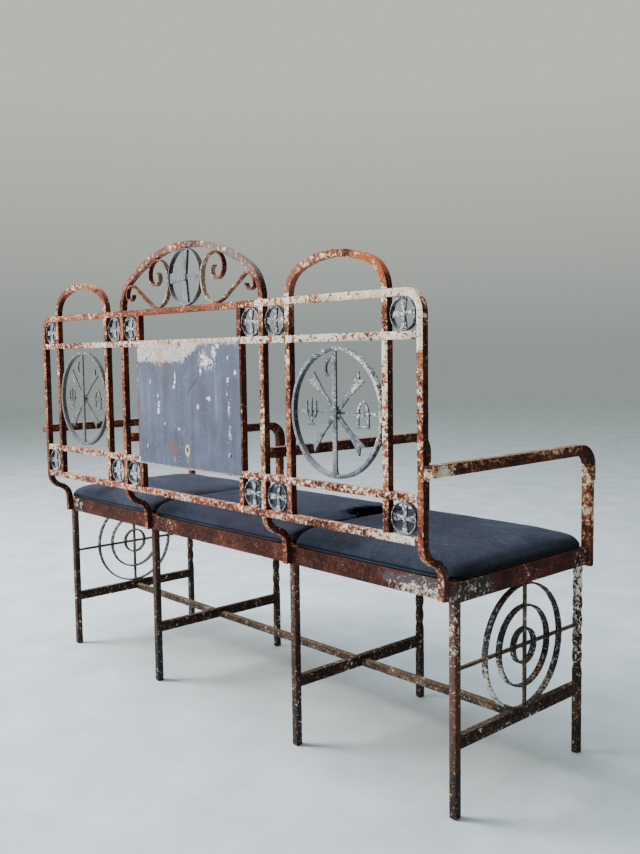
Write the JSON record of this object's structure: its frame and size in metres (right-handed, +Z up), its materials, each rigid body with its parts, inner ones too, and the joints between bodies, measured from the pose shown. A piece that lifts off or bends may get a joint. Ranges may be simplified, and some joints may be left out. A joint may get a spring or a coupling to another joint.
{
  "type": "wrought iron bench",
  "caption": "Wrought-iron settle with a lattice back of hoops and an arch, ring-and-cross ornament, a rear plate, flat-bar arms, twisted front legs and loose crowned seat pads.",
  "frame": {"origin": "on the floor, under the middle of the bench's outline", "axes": "+X along the bench, to the left as seen from behind; +Y to the rear; +Z up"},
  "size_m": [1.491, 0.528, 1.122],
  "materials": {
    "leg_iron": "worn dark paint over rust, pale flecks",
    "stretcher_iron": "worn dark paint over rust, tan and pale flecks",
    "arm_iron": "rust with remains of dark paint",
    "seat_rail_iron": "rust with remains of pale paint",
    "back_iron": "red-brown rust with pale flecks",
    "lattice_rail_iron": "flaked pale paint over rust",
    "scroll_iron": "rust with pale flecks",
    "ornament_iron": "chalky blue-grey paint with pale flakes",
    "plate_iron": "chalky blue-grey paint with rust spots",
    "end_ring_iron": "dark paint with pale flecks",
    "pad_cloth": "woven slate-navy cloth",
    "plywood": "bare plywood"
  },
  "bodies": {
    "root": {"arched_back_bar": "back_iron", "arm_bar_left_end": "arm_iron", "arm_bar_left_inner": "arm_iron", "arm_bar_right_end": "arm_iron", "arm_bar_right_inner": "arm_iron", "arm_cap_left_end": "arm_iron", "arm_cap_left_inner": "arm_iron", "arm_cap_right_end": "arm_iron", "arm_cap_right_inner": "arm_iron", "bottom_rail": "lattice_rail_iron", "centre_plate": "plate_iron", "cross_stretcher_left_end": "stretcher_iron", "cross_stretcher_left_inner": "stretcher_iron", "cross_stretcher_right_end": "stretcher_iron", "cross_stretcher_right_inner": "stretcher_iron", "end_rail_left": "seat_rail_iron", "end_rail_right": "seat_rail_iron", "end_rings": "end_ring_iron", "end_rods": "end_ring_iron", "front_leg_left_end": "leg_iron", "front_leg_left_inner": "leg_iron", "front_leg_right_end": "leg_iron", "front_leg_right_inner": "leg_iron", "front_seat_rail": "seat_rail_iron", "hoop_left": "back_iron", "hoop_right": "back_iron", "inner_upright_left": "back_iron", "inner_upright_right": "back_iron", "long_stretcher": "stretcher_iron", "lunette_cross": "ornament_iron", "lunette_ring": "ornament_iron", "medallion_motifs": "ornament_iron", "medallion_rings": "ornament_iron", "medallion_rods": "ornament_iron", "medallion_spokes_left": "ornament_iron", "medallion_spokes_right": "ornament_iron", "medallion_staff_left": "ornament_iron", "medallion_staff_right": "ornament_iron", "outer_back_bar": "back_iron", "pad_boards": "plywood", "rear_leg_left_end": "leg_iron", "rear_leg_left_inner": "leg_iron", "rear_leg_right_end": "leg_iron", "rear_leg_right_inner": "leg_iron", "rear_seat_rail": "seat_rail_iron", "scrolls": "scroll_iron", "seat_bearers": "seat_rail_iron", "seat_pad_centre": "pad_cloth", "seat_pad_left": "pad_cloth", "seat_pad_right": "pad_cloth", "second_rail": "lattice_rail_iron", "small_crosses": "ornament_iron", "small_rings": "ornament_iron", "third_rail": "lattice_rail_iron"}
  },
  "joints": []
}
